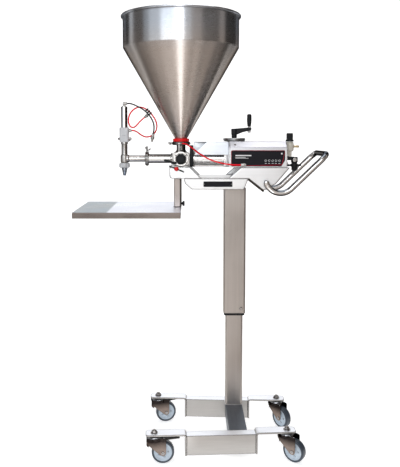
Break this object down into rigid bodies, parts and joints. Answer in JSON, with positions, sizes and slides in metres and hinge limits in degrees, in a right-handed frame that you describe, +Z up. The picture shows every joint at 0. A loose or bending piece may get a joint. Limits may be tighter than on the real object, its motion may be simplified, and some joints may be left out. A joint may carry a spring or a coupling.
{
  "type": "donut filler machine",
  "caption": "Wheeled pastry filling machine: steel hopper cone over a turning valve, air-driven piston, spout with cut-off nozzle above a tray shelf, lifting column and push handle.",
  "frame": {"origin": "floor level, at the middle of the machine's overall length and width", "axes": "+Z up, +X from the nozzle towards the push handle, +Y from the control panel side to the back"},
  "size_m": [1.048, 0.5808, 1.791],
  "materials": {
    "hopper_steel": "satin stainless sheet, spun cone",
    "bright_steel": "bright satin stainless sheet",
    "guard_steel": "bright rolled stainless sheet",
    "column_steel": "brushed stainless tube",
    "beam_steel": "brushed stainless tube and bar",
    "cross_steel": "brushed stainless tube",
    "handle_steel": "polished stainless tube",
    "line_steel": "turned stainless steel",
    "clamp_steel": "cast stainless steel",
    "screw_steel": "machined steel",
    "caster_steel": "bright plated stamped steel",
    "wheel_grey": "moulded grey rubber",
    "pedal_black": "black painted steel",
    "black_plastic": "moulded black plastic",
    "panel_black": "smooth black sheet",
    "dial_grey": "machined aluminium",
    "gasket_red": "red silicone",
    "air_metal": "cast zinc with a light coat",
    "inner_aluminium": "clear anodised aluminium",
    "piston_white": "white food-grade plastic",
    "stop_steel": "milled steel",
    "screw_black": "blackened steel with a red ball",
    "hose_black": "black air hose",
    "hose_red": "red air hose"
  },
  "bodies": {
    "base": {"base_beams": "beam_steel", "cross_beam": "cross_steel", "caster_bolts": "screw_steel", "inner_column": "column_steel"},
    "fork_fl": {"caster_fork_fl": "caster_steel"},
    "wheel_fl": {"caster_wheel_fl": "wheel_grey"},
    "pedal_fl": {"brake_pedal_fl": "pedal_black"},
    "fork_fr": {"caster_fork_fr": "caster_steel"},
    "wheel_fr": {"caster_wheel_fr": "wheel_grey"},
    "fork_rl": {"caster_fork_rl": "caster_steel"},
    "wheel_rl": {"caster_wheel_rl": "wheel_grey"},
    "pedal_rl": {"brake_pedal_rl": "pedal_black"},
    "fork_rr": {"caster_fork_rr": "caster_steel"},
    "wheel_rr": {"caster_wheel_rr": "wheel_grey"},
    "head": {"outer_column": "column_steel", "column_glides": "black_plastic", "pedestal": "bright_steel", "cradle": "bright_steel", "push_handle": "handle_steel", "frame_screws": "screw_steel", "cabinet_shell": "bright_steel", "control_panel": "panel_black", "air_cylinder": "inner_aluminium", "product_cylinder": "line_steel", "cylinder_guard": "guard_steel", "valve_yoke": "black_plastic", "valve_body": "line_steel", "hopper_clamp": "clamp_steel", "hopper_gasket": "gasket_red", "hopper": "hopper_steel", "spout_tube": "line_steel", "spout_clamp": "clamp_steel", "nozzle_body": "line_steel", "nozzle_nut": "line_steel", "nozzle_tip": "line_steel", "actuator_cylinder": "line_steel", "actuator_block": "line_steel", "hose_fittings": "line_steel", "dial_plate": "dial_grey", "air_unit": "air_metal", "shelf_post": "column_steel", "black_hose": "hose_black", "red_hose": "hose_red", "valve_hose": "hose_red", "hose_connectors": "line_steel"},
    "shelf": {"shelf": "guard_steel"},
    "shelf_knob": {"shelf_knob": "black_plastic"},
    "piston": {"piston_rod": "piston_white"},
    "valve": {"valve_spool": "line_steel", "valve_knob": "black_plastic"},
    "crank": {"crank": "black_plastic"},
    "grip": {"crank_grip": "black_plastic"},
    "stop": {"stroke_stop": "stop_steel"},
    "stem": {"cutoff_stem": "line_steel"},
    "regulator_knob": {"regulator_knob": "black_plastic"},
    "shutoff": {"shutoff_handle": "black_plastic"},
    "clamp_screw": {"clamp_screw": "screw_black"},
    "lock_lever": {"lock_lever": "black_plastic"}
  },
  "joints": [
    {"name": "head_lift", "type": "slide", "parent": "base", "child": "head", "axis": [0, 0, 1], "range_m": [-0.25, 0.1]},
    {"name": "swivel_fl", "type": "hinge", "parent": "base", "child": "fork_fl", "pos_m": [-0.19364, -0.25941, 0.114], "axis": [0, 0, 1], "continuous": true},
    {"name": "roll_fl", "type": "hinge", "parent": "fork_fl", "child": "wheel_fl", "pos_m": [-0.15968, -0.25763, 0.045], "axis": [-0.0523, 0.9986, 0], "continuous": true},
    {"name": "brake_fl", "type": "hinge", "parent": "fork_fl", "child": "pedal_fl", "pos_m": [-0.15569, -0.25742, 0.098], "axis": [-0.0523, 0.9986, 0], "range_deg": [0, 10]},
    {"name": "swivel_fr", "type": "hinge", "parent": "base", "child": "fork_fr", "pos_m": [0.33364, -0.23178, 0.114], "axis": [0, 0, 1], "continuous": true},
    {"name": "roll_fr", "type": "hinge", "parent": "fork_fr", "child": "wheel_fr", "pos_m": [0.36079, -0.25224, 0.045], "axis": [0.6018, 0.7986, 0], "continuous": true},
    {"name": "swivel_rl", "type": "hinge", "parent": "base", "child": "fork_rl", "pos_m": [-0.19364, 0.09423, 0.114], "axis": [0, 0, 1], "continuous": true},
    {"name": "roll_rl", "type": "hinge", "parent": "fork_rl", "child": "wheel_rl", "pos_m": [-0.16038, 0.10129, 0.045], "axis": [-0.2079, 0.9781, 0], "continuous": true},
    {"name": "brake_rl", "type": "hinge", "parent": "fork_rl", "child": "pedal_rl", "pos_m": [-0.15647, 0.10213, 0.098], "axis": [-0.2079, 0.9781, 0], "range_deg": [0, 10]},
    {"name": "swivel_rr", "type": "hinge", "parent": "base", "child": "fork_rr", "pos_m": [0.33364, 0.06659, 0.114], "axis": [0, 0, 1], "continuous": true},
    {"name": "roll_rr", "type": "hinge", "parent": "fork_rr", "child": "wheel_rr", "pos_m": [0.3541, 0.03944, 0.045], "axis": [0.7986, 0.6018, 0], "continuous": true},
    {"name": "shelf_height", "type": "slide", "parent": "head", "child": "shelf", "axis": [0, 0, 1], "range_m": [-0.08, 0]},
    {"name": "shelf_knob_turn", "type": "hinge", "parent": "head", "child": "shelf_knob", "pos_m": [-0.0875, 0.03641, 0.995], "axis": [1, 0, 0], "range_deg": [0, 360]},
    {"name": "piston_stroke", "type": "slide", "parent": "head", "child": "piston", "axis": [1, 0, 0], "range_m": [0, 0.08]},
    {"name": "valve_turn", "type": "hinge", "parent": "head", "child": "valve", "pos_m": [-0.09, -0.01159, 1.189], "axis": [0, 1, 0], "range_deg": [-90, 0]},
    {"name": "crank_turn", "type": "hinge", "parent": "head", "child": "crank", "pos_m": [0.138, 0.03641, 1.277], "axis": [0, 0, -1], "range_deg": [-330, 0]},
    {"name": "grip_spin", "type": "hinge", "parent": "crank", "child": "grip", "pos_m": [0.202, 0.03641, 1.35], "axis": [0, 0, 1], "continuous": true},
    {"name": "stop_shift", "type": "slide", "parent": "head", "child": "stop", "axis": [1, 0, 0], "range_m": [-0.07, 0]},
    {"name": "stem_lift", "type": "slide", "parent": "head", "child": "stem", "axis": [0, 0, 1], "range_m": [0, 0.012], "stiffness_N_per_m": 600, "springref_m": -0.012},
    {"name": "pressure_set", "type": "hinge", "parent": "head", "child": "regulator_knob", "pos_m": [0.376, 0.03641, 1.27], "axis": [0, 0, 1], "continuous": true},
    {"name": "air_shutoff", "type": "hinge", "parent": "head", "child": "shutoff", "pos_m": [0.397, 0.03641, 1.1605], "axis": [0, 0, 1], "range_deg": [0, 90]},
    {"name": "clamp_screw_turn", "type": "hinge", "parent": "head", "child": "clamp_screw", "pos_m": [-0.108, -0.07359, 1.151], "axis": [0, 1, 0], "range_deg": [0, 270]},
    {"name": "lock_lever_turn", "type": "hinge", "parent": "head", "child": "lock_lever", "pos_m": [-0.114, -0.01159, 1.172], "axis": [0, 1, 0], "range_deg": [0, 60]}
  ],
  "couplings": [
    {"joint": "stop_shift", "follows": "crank_turn", "m_per_rad": 0.012}
  ]
}
